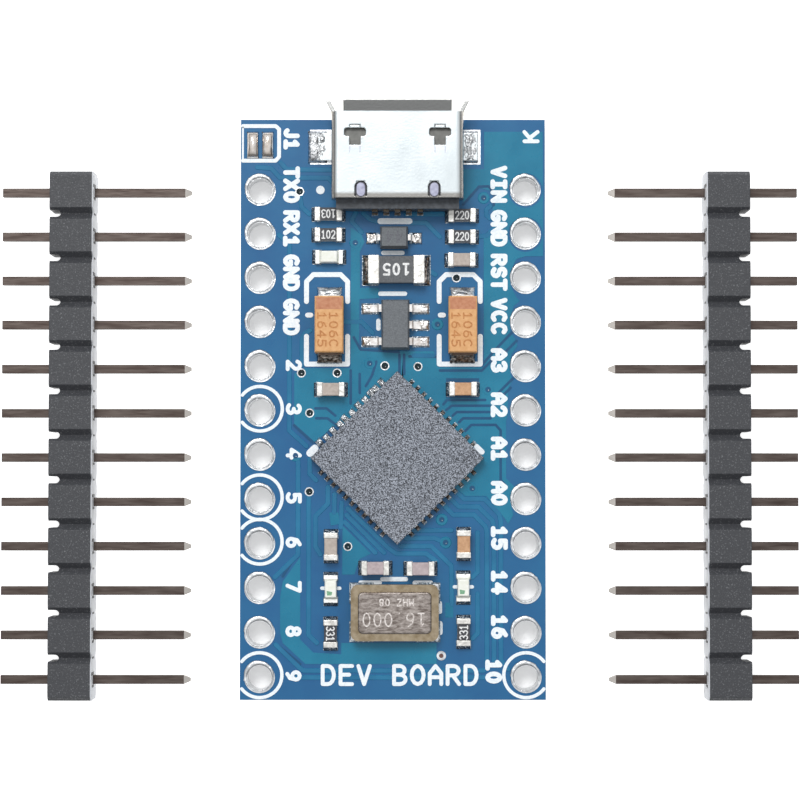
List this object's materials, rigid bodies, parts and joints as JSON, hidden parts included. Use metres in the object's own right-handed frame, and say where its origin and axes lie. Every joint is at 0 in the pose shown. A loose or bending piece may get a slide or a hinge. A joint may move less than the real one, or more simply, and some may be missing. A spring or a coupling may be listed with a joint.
{
  "type": "microcontroller dev board",
  "caption": "Small blue microcontroller board with micro-USB socket, diagonally set flat chip, crystal and chip parts between edge rows of plated pin holes, beside its loose pin header strips.",
  "frame": {"origin": "on the board's underside, at the middle of its length and midway between its two rows of pin holes", "axes": "+Y towards the USB end, +Z out of the side that carries the parts, +X to the right seen from above"},
  "size_m": [0.0458, 0.0341, 0.0044],
  "materials": {
    "laminate": "glass-fibre laminate under a semi-gloss blue solder mask",
    "tin": "hot-tinned copper, slightly rough",
    "usb_steel": "nickel-plated stamped steel, bright satin",
    "black_plastic": "black glass-filled moulding, matt",
    "gold_contact": "gold-flashed copper alloy",
    "package_epoxy": "grey-black mould compound, fine grain",
    "silicon": "polished silicon",
    "copper_frame": "copper lead frame",
    "ceramic_dark": "dark fired alumina",
    "gilt_ring": "gold-plated seal ring, satin",
    "lid_metal": "nickel-iron lid, dull",
    "quartz": "clear quartz with plated electrodes",
    "fuse_polymer": "grey coated polymer",
    "tantalum_resin": "orange-buff moulded epoxy, matt",
    "tantalum_pellet": "sintered pellet",
    "alumina": "white alumina",
    "dark_coat": "black overcoat",
    "beige_ceramic": "pinkish beige dielectric",
    "tan_ceramic": "tan dielectric",
    "lamp_base": "white laminate base",
    "lamp_resin": "milky clear epoxy",
    "pin_alloy": "dull tin-bronze square wire"
  },
  "bodies": {
    "board": {"capacitor_end_caps": "tin", "component_pads": "tin", "core_capacitor_left": "beige_ceramic", "core_capacitor_right": "tan_ceramic", "crystal_base": "ceramic_dark", "crystal_blank": "quartz", "crystal_capacitor_left": "beige_ceramic", "crystal_capacitor_right": "beige_ceramic", "crystal_lid": "lid_metal", "crystal_seal_ring": "gilt_ring", "crystal_terminals": "tin", "diode_body": "package_epoxy", "diode_leads": "tin", "fuse_body": "fuse_polymer", "fuse_end_caps": "tin", "lamp_dies": "silicon", "lamp_terminals": "tin", "mcu_die": "silicon", "mcu_heat_pad": "copper_frame", "mcu_leads": "tin", "mcu_package": "package_epoxy", "pcb_laminate": "laminate", "pin_hole_plating_left": "tin", "pin_hole_plating_right": "tin", "power_lamp_base": "lamp_base", "power_lamp_lens": "lamp_resin", "power_lamp_resistor": "alumina", "receive_lamp_base": "lamp_base", "receive_lamp_lens": "lamp_resin", "receive_lamp_resistor": "alumina", "regulator_body": "package_epoxy", "regulator_leads": "tin", "reset_resistor": "alumina", "resistor_coats": "dark_coat", "resistor_end_caps": "tin", "supply_capacitor_left": "beige_ceramic", "supply_capacitor_right": "tan_ceramic", "tantalum_anodes": "tantalum_pellet", "tantalum_left_body": "tantalum_resin", "tantalum_left_terminals": "tin", "tantalum_right_body": "tantalum_resin", "tantalum_right_terminals": "tin", "transmit_lamp_base": "lamp_base", "transmit_lamp_lens": "lamp_resin", "transmit_lamp_resistor": "alumina", "usb_capacitor": "tan_ceramic", "usb_contacts": "gold_contact", "usb_insulator": "black_plastic", "usb_resistor_lower": "alumina", "usb_resistor_upper": "alumina", "usb_shell": "usb_steel"},
    "left_header_strip": {"left_header_housing": "black_plastic", "left_header_pins": "pin_alloy"},
    "right_header_strip": {"right_header_housing": "black_plastic", "right_header_pins": "pin_alloy"}
  },
  "joints": [
    {"name": "left_strip_lift", "type": "slide", "parent": "board", "child": "left_header_strip", "axis": [0, 0, 1], "range_m": [0, 0.02]},
    {"name": "right_strip_lift", "type": "slide", "parent": "board", "child": "right_header_strip", "axis": [0, 0, 1], "range_m": [0, 0.02]}
  ]
}
